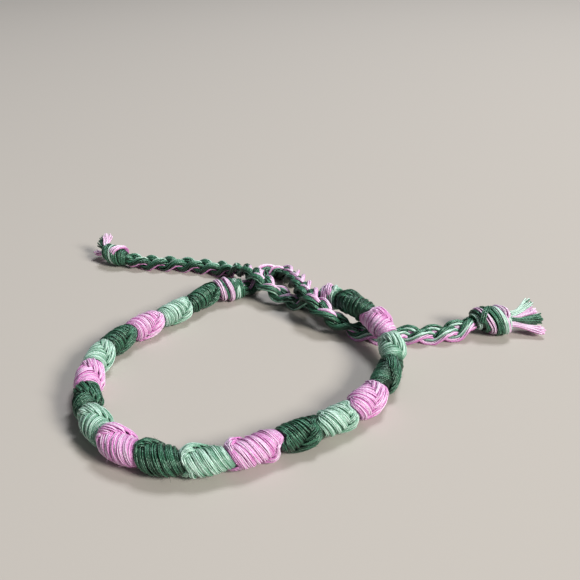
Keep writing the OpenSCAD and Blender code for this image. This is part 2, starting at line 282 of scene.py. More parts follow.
RINGS_END_RIGHT = [
    (0.8, 0.6, 222, 1.5, 1.0, 0.8, MINT), (1.7, 1.3, 218, 2.1, 1.2, 0.9, DARK),
    (2.6, 1.6, 226, 2.45, 1.3, 1.0, PINK), (3.6, 1.7, 222, 2.5, 1.4, 1.1, DARK),
    (4.6, 1.6, 230, 2.45, 1.3, 1.1, DARK), (5.5, 1.3, 224, 2.5, 1.2, 1.0, MINT),
    (6.2, 1.0, 232, 2.3, 1.1, 0.9, PINK), (6.9, 0.5, 226, 1.9, 1.0, 0.9, MINT),
]

# Loops of floss that cross over a knot.
# Columns: way along and angle where it starts, the same where it ends, radius, width and height of
# the floss, colour
LOOPS_START_LEFT = [(3.2, 190, 5.0, 60, 2.35, 1.1, 0.8, DARK)]
LOOPS_START_RIGHT = [
    (0.8, 30, 3.6, 150, 2.65, 1.4, 0.9, PINK), (2.2, 20, 4.4, 120, 2.5, 0.9, 0.7, MINT),
]
LOOPS_END_LEFT = [
    (5.6, 20, 3.6, 155, 2.4, 1.3, 0.9, PINK), (5.0, 30, 3.0, 145, 2.3, 0.9, 0.8, PINK),
]
LOOPS_END_RIGHT = [
    (6.6, 130, 4.2, 30, 2.8, 1.4, 0.9, PINK), (1.4, 160, 3.6, 40, 2.75, 1.3, 0.9, DARK),
]

# Locks of cut floss past the end knots. Columns: spot of the tip, colour
LOCKS_LEFT = [
    (-37.2, 54.6, 5.3, PINK), (-37.7, 54.5, 4.9, PINK), (-37.4, 54.2, 5.6, PINK),
    (-38.8, 54.3, 3.9, DARK), (-39.4, 54.0, 3.5, DARK), (-39.0, 54.5, 4.4, DARK),
    (-40.0, 52.6, 1.9, PINK), (-40.2, 52.1, 1.6, PINK), (-38.4, 54.5, 3.2, MINT),
]
LOCKS_RIGHT = [
    (58.5, 19.5, 5.4, MINT), (58.8, 19.1, 5.0, DARK), (59.0, 18.7, 5.1, MINT),
    (59.6, 17.7, 4.1, PINK), (59.8, 17.4, 3.7, PINK), (59.5, 17.1, 3.9, PINK),
    (60.2, 16.2, 3.2, DARK), (60.4, 15.7, 2.6, DARK), (60.3, 15.4, 3.0, DARK),
    (60.4, 15.9, 3.4, DARK),
    (60.6, 14.0, 1.6, PINK), (60.7, 13.5, 1.2, PINK), (60.3, 13.3, 1.5, PINK),
]


def in_metres(spots):
    """Spots in millimetres as an array in metres."""
    return np.array(spots, float) * MM


def unit(rows):
    """Rows of vectors, each made one long."""
    return rows / np.linalg.norm(rows, axis=-1, keepdims=True)


def hermite(t, h, spots, slopes, i):
    """A smooth curve through spots with those slopes, at share t of the way h from spot i on."""
    return (
        spots[i] * (2 * t**3 - 3 * t**2 + 1)
        + slopes[i] * h * (t**3 - 2 * t**2 + t)
        + spots[i + 1] * (3 * t**2 - 2 * t**3)
        + slopes[i + 1] * h * (t**3 - t**2)
    )


def bezier(t, begin, first, second, end):
    """A cubic curve from begin to end, drawn towards first and second, at shares t."""
    near, far = 3 * t * (1 - t) ** 2 * first, 3 * t**2 * (1 - t) * second
    return (1 - t) ** 3 * begin + near + far + t**3 * end


def eased(share):
    """A share from 0 to 1, slow at both ends."""
    return share * share * (3 - 2 * share)


def distances(path):
    """How far each spot of a path lies along it."""
    steps = np.linalg.norm(np.diff(path, axis=0), axis=1)
    return np.concatenate([[0], np.cumsum(steps)])


class CordLine:
    """The middle line of the whole cord as one smooth curve, measured along the cord."""

    def __init__(self, spots):
        self.spots = spots
        self.spans = np.linalg.norm(np.diff(spots, axis=0), axis=1)
        self.reach = np.concatenate([[0], np.cumsum(self.spans)])
        step = np.diff(spots, axis=0) / self.spans[:, None]
        before, after = self.spans[:-1, None], self.spans[1:, None]
        inner = (step[1:] * before + step[:-1] * after) / (before + after)
        self.slopes = np.concatenate([step[:1], inner, step[-1:]])

    def at(self, s):
        """The spots at distances s along the cord."""
        s = np.atleast_1d(s)
        i = np.clip(np.searchsorted(self.reach, s, side="right") - 1, 0, len(self.spans) - 1)
        h = self.spans[i][:, None]
        return hermite((s[:, None] - self.reach[i][:, None]) / h, h, self.spots, self.slopes, i)

    def axes(self, s):
        """The cord's direction, its left side and its upper side at distances s."""
        step = 0.05 * MM
        ahead = unit(self.at(s + step) - self.at(s - step))
        left = unit(np.cross(UPWARDS, ahead))
        return ahead, left, np.cross(ahead, left)

    def round_about(self, s, angle, radius):
        """Spots at distances s along, angles in degrees round and radii off the middle line, and
        the directions in which they lie."""
        _, left, above = self.axes(s)
        a = np.radians(angle)[:, None]
        outwards = np.cos(a) * left + np.sin(a) * above
        return self.at(s) + radius[:, None] * outwards, outwards


PARTS = [END_KNOT_LEFT, TIE_LEFT, START_KNOT_RIGHT, BAND, START_KNOT_LEFT, TIE_RIGHT, END_KNOT_RIGHT]
LINE = CordLine(in_metres([spot for part in PARTS for spot in part]))
STARTS = np.cumsum([0] + [len(part) for part in PARTS])
TIE_LEFT_FROM, TIE_LEFT_TO = LINE.reach[STARTS[1]], LINE.reach[STARTS[2]]
BAND_REACH = LINE.reach[STARTS[3]:STARTS[4]]
TIE_RIGHT_FROM, TIE_RIGHT_TO = LINE.reach[STARTS[5]], LINE.reach[STARTS[6]]
CORD_END = LINE.reach[-1]


class FlossMesh:
    """Gathers swept strands into one mesh. Its UV map is in mm along and round each strand, and its
    attribute painted_light says how open to the light a point lies, from which the material paints shade
    into the colour."""

    def __init__(self):
        self.points, self.faces, self.uvs, self.slots, self.painted_lights = [], [], [], [], []
        self.count = 0

    def sweep(self, path, up, outlines, slot=0, start=0.0, lit=1.0):
        """Sweeps outlines, one per spot of the path, their y side upwards and open to the light: painted
        light on their tops, painted shade towards their undersides, scaled by lit.
        """
        rings, sides = len(path), outlines.shape[1]
        ahead = unit(np.gradient(path, axis=0))
        across = unit(np.cross(ahead, up))
        high = np.cross(across, ahead)
        spots = (
            path[:, None, :]
            + outlines[:, :, :1] * across[:, None, :]
            + outlines[:, :, 1:] * high[:, None, :]
        )
        along = distances(path) / MM + start
        rim = np.linalg.norm(np.diff(outlines[0], axis=0, append=outlines[0, :1]), axis=1)
        around = np.concatenate([[0], np.cumsum(rim)]) / MM
        height = outlines[:, :, 1] / np.linalg.norm(outlines, axis=2).max(axis=1, keepdims=True)
        painted_lights = np.broadcast_to(lit, rings)[:, None] * (0.5 + 0.5 * height)
        self.skin(spots.reshape(-1, 3), rings, sides, along, around, slot, painted_lights.ravel())

    def bed(self, rings, slot=0):
        """Joins rings of spots into a closed bed, which lies in the shade of the floss on it and is painted
        in full shade.
        """
        count, sides = rings.shape[:2]
        along, around = np.arange(count) * BED_UV[0], np.arange(sides + 1) * BED_UV[1]
        self.skin(rings.reshape(-1, 3), count, sides, along, around, slot, np.zeros(count * sides))
        # a bed's fibres run round it, not along it
        self.uvs[-2] = self.uvs[-2][:, ::-1]

    def skin(self, spots, count, sides, along, around, slot, painted_lights):
        """Faces between rings of spots, capped at both ends."""
        self.points.append(spots)
        self.painted_lights.append(painted_lights)
        i = np.repeat(np.arange(count - 1), sides)
        k = np.tile(np.arange(sides), count - 1)
        n = (k + 1) % sides
        this, following = self.count + i * sides, self.count + (i + 1) * sides
        quads = np.stack([this + k, this + n, following + n, following + k], 1)
        self.faces.extend(quads.tolist())
        corners = [(along[i], around[k]), (along[i], around[k + 1])]
        corners += [(along[i + 1], around[k + 1]), (along[i + 1], around[k])]
        self.uvs.append(np.stack([np.stack(corner, 1) for corner in corners], 1).reshape(-1, 2))
        last_ring = self.count + (count - 1) * sides
        self.faces.append(list(range(self.count, self.count + sides))[::-1])
        self.faces.append(list(range(last_ring, last_ring + sides)))
        self.uvs.append(np.full((2 * sides, 2), along[0]))
        self.slots.extend([slot] * (len(quads) + 2))
        self.count += count * sides

    def strand(self, middle, up, outline, slot, lit, rng):
        """Sweeps one strand, its fibres from a place of its own in their pattern."""
        outlines = np.broadcast_to(outline, (len(middle), *outline.shape))
        self.sweep(middle, up, outlines, slot, rng.uniform(*FIBRE_PLACES), lit)

    def flat_floss(self, path, up, width, height, strands, strand_d, rng, lit):
        """Lays a flat floss along a path: its strands side by side, each a little astray."""
        along = distances(path)
        across = unit(np.cross(unit(np.gradient(path, axis=0)), up))
        stray = STRAY_FLAT * strand_d
        # places run from -1 to 1 across the floss, whose middle stands highest
        for place in (np.arange(strands) + 0.5) / strands * 2 - 1:
            x = place * (width - strand_d) / 2 + drift(along, STRAY_WAVE, stray, rng)
            y = (0.5 - place**2) * (height - strand_d) + drift(along, STRAY_WAVE, stray, rng)
            middle = path + x[:, None] * across + y[:, None] * up
            outline = STRAND_OUTLINE * strand_d * rng.uniform(*STRAND_SIZES) / 2
            # painted light on the strand, which varies along it and fades at the outermost strands
            shade = STRAND_LIGHT + drift(along, SHADE_WAVE, SHADE_STRAY, rng)
            self.strand(middle, up, outline, 0, lit * shade * (1 - SIDE_SHADE * place**2), rng)

    def hairs(self, path, up, rise, rng):
        """Adds loose fibres that leave a floss here and there and curl off it."""
        ahead = unit(np.gradient(path, axis=0))
        t = np.linspace(0, 1, HAIR_POINTS)[:, None]
        for spot in rng.integers(HAIR_FREE_ENDS, len(path) - HAIR_FREE_ENDS, HAIRS):
            across = np.cross(ahead[spot], up[spot])
            side = across * rng.normal(0, HAIR_ASIDE) + ahead[spot] * rng.choice([-1, 1])
            length = HAIR_LENGTH * rng.uniform(*HAIR_LENGTHS)
            off = up[spot] * rng.uniform(*HAIR_RISES) + across * rng.normal(0, HAIR_CURL)
            hair = path[spot] + up[spot] * rise + length * (side * t + off * t * t)
            outlines = STRAND_OUTLINE * HAIR_D / 2 * (1 - HAIR_THINNING * t)[:, :, None]
            # aslant, so that it never points along the fibre itself
            self.sweep(hair, unit(up[spot] + 0.1 * across), outlines)

    def round_floss(self, path, up, width, height, strands, strand_d, rng, slot, twist=0.0):
        """Lays a floss along a path: its strands side by side in an oval, each a little astray."""
        along = distances(path)
        ahead = unit(np.gradient(path, axis=0))
        across = unit(np.cross(ahead, up))
        high = np.cross(across, ahead)
        stray = STRAY_ROUND * strand_d
        turn = rng.uniform(0, 2 * np.pi) + (along / twist * 2 * np.pi if twist else 0)
        turn = turn + drift(along, FLOSS_TURN_WAVE, FLOSS_TURN, rng)
        for strand in range(strands):
            a = 2 * np.pi * strand / strands + turn + drift(along, STRAND_TURN_WAVE, STRAND_TURN, rng)
            x = np.cos(a) * (width - strand_d) / 2 + drift(along, STRAY_WAVE, stray, rng)
            y = np.sin(a) * (height - strand_d) / 2 + drift(along, STRAY_WAVE, stray, rng)
            # painted shade on the strands at the sides and more on the underside of the floss
            painted_round_light = 1 - ROUND_SHADE + ROUND_SHADE * np.sin(a)
            middle = path + x[:, None] * across + y[:, None] * high
            outline = STRAND_OUTLINE * (strand_d * rng.uniform(*STRAND_SIZES)) / 2
            self.strand(middle, up, outline, slot, painted_round_light, rng)

    def build(self, name, node, colour=None):
        """Adds the mesh as a piece in place of that node: in one colour, or in all three."""
        mesh = bpy.data.meshes.new(name)
        points = np.concatenate(self.points)
        # soft floss lies flat where it touches the floor
        points[:, 2] = np.maximum(points[:, 2], FLOOR_GAP)
        mesh.from_pydata(points.tolist(), [], self.faces)
        layer = mesh.uv_layers.new(name="floss")
        layer.data.foreach_set("uv", np.concatenate(self.uvs).ravel())
        painted_light = mesh.attributes.new("painted_light", "FLOAT", "POINT")
        painted_light.data.foreach_set("value", np.concatenate(self.painted_lights))
        used = [materials()[COLOURS.index(colour)]] if colour else materials()
        for material in used:
            mesh.materials.append(material)
        mesh.polygons.foreach_set("material_index", self.slots)
        mesh.polygons.foreach_set("use_smooth", [True] * len(mesh.polygons))
        mesh.update()
        piece = bpy.data.objects.new(name, mesh)
        bpy.context.scene.collection.objects.link(piece)
        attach(piece, "root")
        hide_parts(node)


def drift(along, wave, size, rng):
    """A random value at each distance along, of that size, that changes smoothly over that wave."""
    knots = int(along[-1] / wave) + 4
    values = rng.normal(0, size, knots + 3)
    x = along / wave + rng.uniform(0, 1)
    i = np.floor(x).astype(int)
    t = x - i
    a, b, c, d = values[i], values[i + 1], values[i + 2], values[i + 3]
    # weights of a cubic B-spline
    weights = ((1 - t) ** 3, 3 * t**3 - 6 * t**2 + 4, -3 * t**3 + 3 * t**2 + 3 * t + 1, t**3)
    return (a * weights[0] + b * weights[1] + c * weights[2] + d * weights[3]) / 6


def core_outline():
    """Outline of the core: a ring of flosses side by side, with grooves between them."""
    points = CORE_FLOSSES * CORE_FLOSS_POINTS
    a = 2 * np.pi * np.arange(points) / points
    swelling = np.abs(np.sin(a * CORE_FLOSSES / 2)) ** CORE_GROOVE_POWER
    radius = CORE_D / 2 * (1 - CORE_GROOVE * (1 - swelling))
    return np.stack([np.cos(a) * radius, np.sin(a) * radius], 1)


def turned(outline, angles):
    """An outline repeated once per angle in radians, turned by it."""
    c, s = np.cos(angles)[:, None], np.sin(angles)[:, None]
    x, y = outline[:, 0][None, :], outline[:, 1][None, :]
    return np.stack([c * x - s * y, s * x + c * y], 2)


def cyclic(table, share, column):
    """A column of a table whose first column runs from 0 to 1 and round again, smoothly."""
    keys = np.array(table, float)
    x, y = keys[:, 0], keys[:, column]
    x = np.concatenate([x[-2:] - 1, x, x[:2] + 1])
    y = np.concatenate([y[-2:], y, y[:2]])
    h = np.diff(x)
    d = np.diff(y) / h
    slopes = np.zeros_like(y)
    slopes[1:-1] = (d[1:] * h[:-1] + d[:-1] * h[1:]) / (h[:-1] + h[1:])
    i = np.clip(np.searchsorted(x, share, side="right") - 1, 1, len(x) - 3)
    return hermite((share - x[i]) / h[i], h[i], y, slopes, i)


def linear(hex_code):
    """A colour from an sRGB hex code, in linear light, with full alpha."""
    values = [int(hex_code.lstrip("#")[i:i + 2], 16) / 255 for i in (0, 2, 4)]
    return [v / 12.92 if v <= 0.04045 else ((v + 0.055) / 1.055) ** 2.4 for v in values] + [1.0]


def add_node(tree, kind, options=None, inputs=None):
    """Adds a node with its options; an input is a value or another node's output."""
    node = tree.nodes.new(kind)
    for name, value in (options or {}).items():
        setattr(node, name, value)
    for name, value in (inputs or {}).items():
        if isinstance(value, bpy.types.NodeSocket):
            tree.links.new(value, node.inputs[name])
        else:
            node.inputs[name].default_value = value
    return node


def new_material(name):
    """An empty node material and its tree."""
    material = bpy.data.materials.new(name)
    material.use_nodes = True
    material.node_tree.nodes.clear()
    return material, material.node_tree


# light and deep are the floss's colour as lit and in painted shade
def floss_material(name, light, deep):
    """Mercerised six-strand cotton floss: dyed, combed and treated to a satin lustre."""
    material, tree = new_material(name)
    dyed = linear(light)
    uv = add_node(tree, "ShaderNodeUVMap", {"uv_map": "floss"})
    # fibres, drawn 0.09 mm wide so that they show, in streaks about 1.1 mm long and a little aslant
    fibres = add_node(
        tree, "ShaderNodeMapping",
        inputs={"Vector": uv.outputs["UV"], "Rotation": (0.0, 0.0, 0.3), "Scale": (0.9, 11.0, 1.0)},
    )
    streak = add_node(
        tree, "ShaderNodeTexNoise", {"noise_dimensions": "2D"},
        {"Vector": fibres.outputs["Vector"], "Scale": 1.0, "Detail": 3.0, "Roughness": 0.6},
    )
    place = add_node(tree, "ShaderNodeTexCoord")
    # uneven dye and handling, in patches of about 2.4 mm
    patch = add_node(
        tree, "ShaderNodeTexNoise",
        inputs={"Vector": place.outputs["Object"], "Scale": 420.0, "Detail": 2.0},
    )
    mixed = add_node(
        tree, "ShaderNodeMath", {"operation": "MULTIPLY_ADD"},
        {0: streak.outputs["Fac"], 1: STREAKS, 2: patch.outputs["Fac"]},
    )
    uneven = add_node(
        tree, "ShaderNodeMapRange",
        inputs={
            "Value": mixed.outputs["Value"],
            "From Min": 0.55, "From Max": 1.15, "To Min": 0.5, "To Max": 1.15,
        },
    )
    # painted shade: the sides of a strand, the low places of the wraps and the beds see little light, so
    # they take the shaded colour
    painted_light = add_node(tree, "ShaderNodeAttribute", {"attribute_type": "GEOMETRY", "attribute_name": "painted_light"})
    opened = add_node(
        tree, "ShaderNodeMapRange", {"interpolation_type": "SMOOTHSTEP"},
        {"Value": painted_light.outputs["Fac"], "From Min": 0.48, "From Max": 0.86},
    )
    share = add_node(
        tree, "ShaderNodeMath", {"operation": "MULTIPLY", "use_clamp": True},
        {0: opened.outputs["Result"], 1: uneven.outputs["Result"]},
    )
    colour = add_node(
        tree, "ShaderNodeMix", {"data_type": "RGBA"},
        {"Factor": share.outputs["Value"], "A": linear(deep), "B": dyed},
    )
    # the plies of a strand, one every 0.63 mm along it, which show as slanting grooves
    ways = add_node(tree, "ShaderNodeSeparateXYZ", inputs={"Vector": uv.outputs["UV"]})
    round_it = add_node(
        tree, "ShaderNodeMath", {"operation": "MULTIPLY"}, {0: ways.outputs["Y"], 1: PLY_ROUND}
    )
    turn = add_node(
        tree, "ShaderNodeMath", {"operation": "MULTIPLY_ADD"},
        {0: ways.outputs["X"], 1: PLY_ALONG, 2: round_it.outputs["Value"]},
    )
    plies = add_node(tree, "ShaderNodeMath", {"operation": "SINE"}, {0: turn.outputs["Value"]})
    relief = add_node(
        tree, "ShaderNodeMath", {"operation": "MULTIPLY_ADD"},
        {0: plies.outputs["Value"], 1: PLY_DEPTH, 2: streak.outputs["Fac"]},
    )
    bump = add_node(
        tree, "ShaderNodeBump",
        inputs={"Height": relief.outputs["Value"], "Strength": 0.8, "Distance": 0.07 * MM},
    )
    tangent = add_node(tree, "ShaderNodeTangent", {"direction_type": "UV_MAP", "uv_map": "floss"})
    surface = add_node(
        tree, "ShaderNodeBsdfPrincipled",
        inputs={
            "Base Color": colour.outputs["Result"],
            "Normal": bump.outputs["Normal"],
            "Tangent": tangent.outputs["Tangent"],
            "Roughness": 0.36,
            "Anisotropic": 0.6,
            "Anisotropic Rotation": 0.25,
            "Specular IOR Level": 1.0,
            "Specular Tint": [0.5 + 0.5 * part / max(dyed[:3]) for part in dyed[:3]] + [1.0],
            "Subsurface Weight": 0.35,
            "Subsurface Radius": (1.0, 0.8, 0.9),
            "Subsurface Scale": 0.35 * MM,
            "Sheen Weight": 0.02,
            "Sheen Roughness": 0.4,
        },
    )
    add_node(tree, "ShaderNodeOutputMaterial", inputs={"Surface": surface.outputs["BSDF"]})
    return material


class BraceletFloss(bpy.types.PropertyGroup):
    """The floss that the bracelet is made of: each colour once as lit and once in painted shade."""

    dark_lit: StringProperty(name="Dark green", description="Lit strands", default="#447d62")
    dark_painted_shade: StringProperty(name="Dark green, deep", description="Shaded parts", default="#081c12")
    pink_lit: StringProperty(name="Pink", description="Lit strands", default="#ffe4ff")
    pink_painted_shade: StringProperty(name="Pink, deep", description="Shaded parts", default="#de8ccc")
    mint_lit: StringProperty(name="Mint", description="Lit strands", default="#dcfff0")
    mint_painted_shade: StringProperty(name="Mint, deep", description="Shaded parts", default="#679c82")


class BraceletSizes(bpy.types.PropertyGroup):
    """Sizes of the band, the ties and the tassels."""

    band_d: FloatProperty(
        name="Band", description="Mean diameter of the band over its wraps",
        default=4.5 * MM, unit="LENGTH", precision=5,
    )
    pitch: FloatProperty(
        name="Hitch pitch", description="Length of band that one half hitch takes",
        default=0.84 * MM, unit="LENGTH", precision=5,
    )
    reach: FloatProperty(
        name="Crossing reach", description="How far along the band a hitch crosses at the row",
        default=4.2 * MM, unit="LENGTH", precision=5,
    )
    lean: FloatProperty(
        name="Lean", description="How far the wraps lean along the band, each way",
        default=0.45 * MM, unit="LENGTH", precision=5,
    )
    floss_w: FloatProperty(
        name="Floss width", description="Width of the floss where it wraps the band",
        default=1.25 * MM, unit="LENGTH", precision=5,
    )
    floss_h: FloatProperty(
        name="Floss height", description="Height of the floss where it wraps the band",
        default=0.55 * MM, unit="LENGTH", precision=5,
    )
    strand_d: FloatProperty(
        name="Strand", description="Diameter of one strand of the floss",
        default=0.27 * MM, unit="LENGTH", precision=5,
    )
    strands: IntProperty(name="Strands", description="Strands of the floss that show", default=6)
    rings: IntProperty(name="Rings", description="Rings of points in one half hitch", default=40)


class BraceletSettings(bpy.types.PropertyGroup):
    """All settings of the bracelet."""

    floss: PointerProperty(type=BraceletFloss)
    sizes: PointerProperty(type=BraceletSizes)


def settings():
    """The bracelet's settings."""
    return bpy.context.scene.bracelet


def materials():
    """The three floss materials, made once, in the order of COLOURS."""
    floss = settings().floss
    hexes = {
        DARK: (floss.dark_lit, floss.dark_painted_shade), PINK: (floss.pink_lit, floss.pink_painted_shade),
        MINT: (floss.mint_lit, floss.mint_painted_shade),
    }
    made = []
    for colour in COLOURS:
        name = f"mercerised_cotton_{colour}"
        made.append(bpy.data.materials.get(name) or floss_material(name, *hexes[colour]))
    return made


def lean_of(angle):
    """How far forward the wraps lean at an angle round the band."""
    return settings().sizes.lean * np.sin(np.radians(angle - LEAN_FROM))


def joint_reach(joint):
    """Where along the cord the middle of the edge between two colours lies."""
    return BAND_REACH[joint] + JOINT_SLIPS.get(joint, 0) * MM


def joint_at(joint, angle):
    """Where along the cord the edge between two colours runs at an angle round the band."""
    sizes = settings().sizes
    edge = joint_reach(joint) + lean_of(angle)
    if 0 < joint < len(SECTIONS):
        _, _, row_start, row_turn = SECTIONS[joint]
        behind = np.mod(row_start - angle, 360) / (360 + 360 * sizes.pitch / (row_turn * MM))
        edge = edge + JOINT_SHARE * sizes.reach * (cyclic(HITCH, behind, 1) - 0.5)
    return edge


def wrap_section(number):
    """One section of the band: a single floss in half hitches from end to end."""
    sizes = settings().sizes
    colour, girth, row_start, row_turn = SECTIONS[number]
    start, end = joint_reach(number), joint_reach(number + 1)
    rng = np.random.default_rng(SECTION_SEED + number)
    margin = END_GAP + sizes.floss_w * OUTER_TURN
    # the turns start before and end after the section's edges, and crowd together along them
    over = (1 - JOINT_SHARE) * 0.5 * sizes.reach + TURNS_OVER
    length = end - start - 2 * margin + 2 * over
    hitches = round(length / sizes.pitch)
    pitch = length / hitches
    row_step = 360 * pitch / (row_turn * MM)
    rings = np.arange(hitches * sizes.rings + 1) / sizes.rings
    share = np.interp(rings % 1.0, [0, CROSSING_RINGS, 1], [0, CROSSING, 1])
    hitch = np.floor(rings) + share
    angle = row_start - (360 + row_step) * hitch
    uneven = drift(hitch, UNEVEN_ALONG_TURNS, UNEVEN_ALONG, rng)
    s = start + (margin - over) + hitch * pitch + uneven + lean_of(angle)
    s += sizes.reach * (cyclic(HITCH, share, 1) - 0.5)
    low, high = joint_at(number, angle) + margin, joint_at(number + 1, angle) - margin
    s = high - crowd(high - s)
    s = low + crowd(s - low + CROWD_START)
    edge = np.minimum(s - low, high - s) + margin
    dip = DIVE * np.exp(-((edge / DIVE_LENGTH) ** 2))
    lift = cyclic(HITCH, share, 2) * MM * np.clip(edge / RISE_LENGTH, 0, 1)
    # the floss starts and ends under the other turns
    inside = np.clip(np.minimum(hitch, hitches - hitch) / END_SHARE, 0, 1)
    lift -= END_DEPTH * (1 - inside) ** 2
    radius = sizes.band_d * girth / 2 - sizes.floss_h / 2 + lift - dip
    radius += drift(hitch, UNEVEN_OFF_TURNS, UNEVEN_OFF, rng)
    # painted shade where the floss dips under its neighbours and at the section's ends
    lit = np.clip(LEVEL_LIGHT + lift / LIT_RISE, DIP_LIGHT, 1)
    lit = lit * np.clip(END_LIGHT + edge / SHADE_LENGTH, 0, 1)
    path, outwards = LINE.round_about(s, angle, radius)
    wraps = FlossMesh()
    width, height = sizes.floss_w * cyclic(HITCH, share, 3), sizes.floss_h * cyclic(HITCH, share, 4)
    wraps.flat_floss(path, outwards, width, height, sizes.strands, sizes.strand_d, rng, lit)
    # loose fibres leave out the two turns at each end
    seen = slice(2 * sizes.rings, -2 * sizes.rings)
    wraps.hairs(path[seen], outwards[seen], sizes.floss_h / 2, rng)
    add_bed(wraps, number, girth)
    wraps.build(f"wraps_{number + 1:02d}", f"section_{number + 1:02d}", colour)


def crowd(room):
    """Room before an edge, eased so that it never falls below nothing."""
    return CROWD_LENGTH * np.logaddexp(0, room / CROWD_LENGTH)


def add_bed(wraps, number, girth):
    """Adds the strands of a section's floss that lie under the others, as one sleeve."""
    sizes = settings().sizes
    shares = np.linspace(0, 1, BED_RINGS)
    angles = np.arange(0, 360, BED_STEP)
    radius = sizes.band_d * girth / 2 - sizes.floss_h * BED_DEPTH
    radii = radius * (1 - BED_SLIMMING * np.abs(shares * 2 - 1) ** BED_SLIMMING_POWER)
    low, high = joint_at(number, angles) + END_GAP, joint_at(number + 1, angles) - END_GAP
    wraps.bed(sleeve(low + (high - low) * shares[:, None], angles, radii))


def sleeve(ways, angles, radii):
    """Rings of spots round the cord: a row of ways along it and a radius for each ring."""
    return np.array([
        LINE.round_about(way, angles, np.full(len(angles), radius))[0]
        for way, radius in zip(ways, radii)
    ])


class BRACELET_OT_wrap_sections(bpy.types.Operator):
    """Wraps the nineteen sections of the band in half hitches"""

    bl_idname = "bracelet.wrap_sections"
    bl_label = "Wrap the sections"

    def execute(self, context):
        for number in range(len(SECTIONS)):
            wrap_section(number)
        return {"FINISHED"}


def tie_knot(node, s_from, s_to, rings, loops):
    """A knot: a bed of floss, rings of floss round it and loops over it."""
    name = f"floss_{node}"
    rng = np.random.default_rng(len(name) * KNOT_SEED + len(rings))
    knot = FlossMesh()
    for way, lean, lean_at, radius, width, height, colour in rings:
        angle = RING_START + np.linspace(0, RING_SWEEP, RING_POINTS)
        s = s_from + (way + lean * np.cos(np.radians(angle - lean_at))) * MM
        add_turn(knot, s, angle, np.full(len(angle), radius), width, height, colour, rng)
    for way_from, angle_from, way_to, angle_to, radius, width, height, colour in loops:
        t = np.linspace(0, 1, LOOP_POINTS)
        s = s_from + (way_from + (way_to - way_from) * eased(t)) * MM
        angle = angle_from + (angle_to - angle_from) * t
        sink = LOOP_SINK * np.abs(2 * t - 1) ** LOOP_SINK_POWER
        add_turn(knot, s, angle, radius - sink, width, height, colour, rng)
    shares = np.linspace(0, 1, KNOT_BED_RINGS)
    angles = np.arange(0, 360, KNOT_BED_STEP)
    radii = (KNOT_BED[0] + KNOT_BED[1] * np.sin(np.pi * shares)) * MM
    s = s_from + (s_to - s_from) * (KNOT_BED_PLACE[0] + KNOT_BED_PLACE[1] * shares)
    ways = np.broadcast_to(s[:, None], (len(s), len(angles)))
    # the knot's bed is painted in the full shade of the dark green floss
    knot.bed(sleeve(ways, angles, radii), COLOURS.index(DARK))
    knot.build(name, node)


def add_turn(knot, s, angle, radius, width, height, colour, rng):
    """Lays one floss over a knot at ways s along the cord, angles and radii in mm."""
    path, outwards = LINE.round_about(s, angle, radius * MM)
    slot = COLOURS.index(colour)
    knot.round_floss(path, outwards, width * MM, height * MM, KNOT_STRANDS, KNOT_STRAND_D, rng, slot)


class BRACELET_OT_tie_knots(bpy.types.Operator):
    """Ties the knots at both ends of the band and at the free ends of the ties"""

    bl_idname = "bracelet.tie_knots"
    bl_label = "Tie the knots"

    def execute(self, context):
        knots = [
            ("end_knot_left", 0, TIE_LEFT_FROM, RINGS_END_LEFT, LOOPS_END_LEFT),
            ("start_knot_right", TIE_LEFT_TO, BAND_REACH[0], RINGS_START_RIGHT, LOOPS_START_RIGHT),
            ("start_knot_left", BAND_REACH[-1], TIE_RIGHT_FROM, RINGS_START_LEFT, LOOPS_START_LEFT),
            ("end_knot_right", TIE_RIGHT_TO, CORD_END, RINGS_END_RIGHT, LOOPS_END_RIGHT),
        ]
        for knot in knots:
            tie_knot(*knot)
        return {"FINISHED"}


def plait_strand(node, third, s_from, s_to, swing, turns, flosses):
    """One strand of a plait: three flosses side by side, one of each colour."""
    tuck = PLAIT_TUCK * MM
    s = np.linspace(s_from - tuck, s_to + tuck, int((s_to - s_from) / PLAIT_STEP))
    along = s - s_from
    # the strands draw together where they go into a knot
    inside = (np.minimum(along, s_to - s) / MM + PLAIT_TUCK) / (PLAIT_OPENING * PLAIT_TUCK)
    spread = (PLAIT_TIGHT + (1 - PLAIT_TIGHT) * eased(np.clip(inside, 0, 1))) * MM
    phase = 2 * np.pi * (along / (swing * MM) + third / 3)
    _, left, above = LINE.axes(s)
    rise = np.clip(np.sin(2 * phase) / math.sin(2 * PLAIT_CROSSING), -1, 1)
    middle = LINE.at(s) + (PLAIT_THROW * spread * np.cos(phase))[:, None] * left
    middle = middle + (PLAIT_RISE * spread * rise)[:, None] * above
    heading = unit(np.gradient(middle, axis=0))
    across = unit(np.cross(heading, above))
    high = np.cross(across, heading)
    turning = np.radians(np.interp(along / MM, *np.array(turns, float).T))
    strand = FlossMesh()
    rng = np.random.default_rng(PLAIT_SEED + third + int(swing))
    for slot, (x, y, *widths) in enumerate(flosses):
        width = np.interp(along / MM, PLAIT_CHANGE, widths)
        side = x * np.cos(turning) + y * np.sin(turning) * QUARTER_TURN
        up = y * np.cos(turning) - x * np.sin(turning) * QUARTER_TURN
        path = middle + (side * spread)[:, None] * across + (up * spread)[:, None] * high
        strands = round(np.pi * (max(widths) - PLAIT_STRAND_D) / PLAIT_STRAND_STEP)
        strand.round_floss(
            path, high, width * MM, PLAIT_FLATNESS * width * MM,
            max(PLAIT_LEAST_STRANDS, strands), PLAIT_STRAND_D * MM, rng, slot, PLAIT_TWIST,
        )
    strand.build(f"floss_{node}", node)


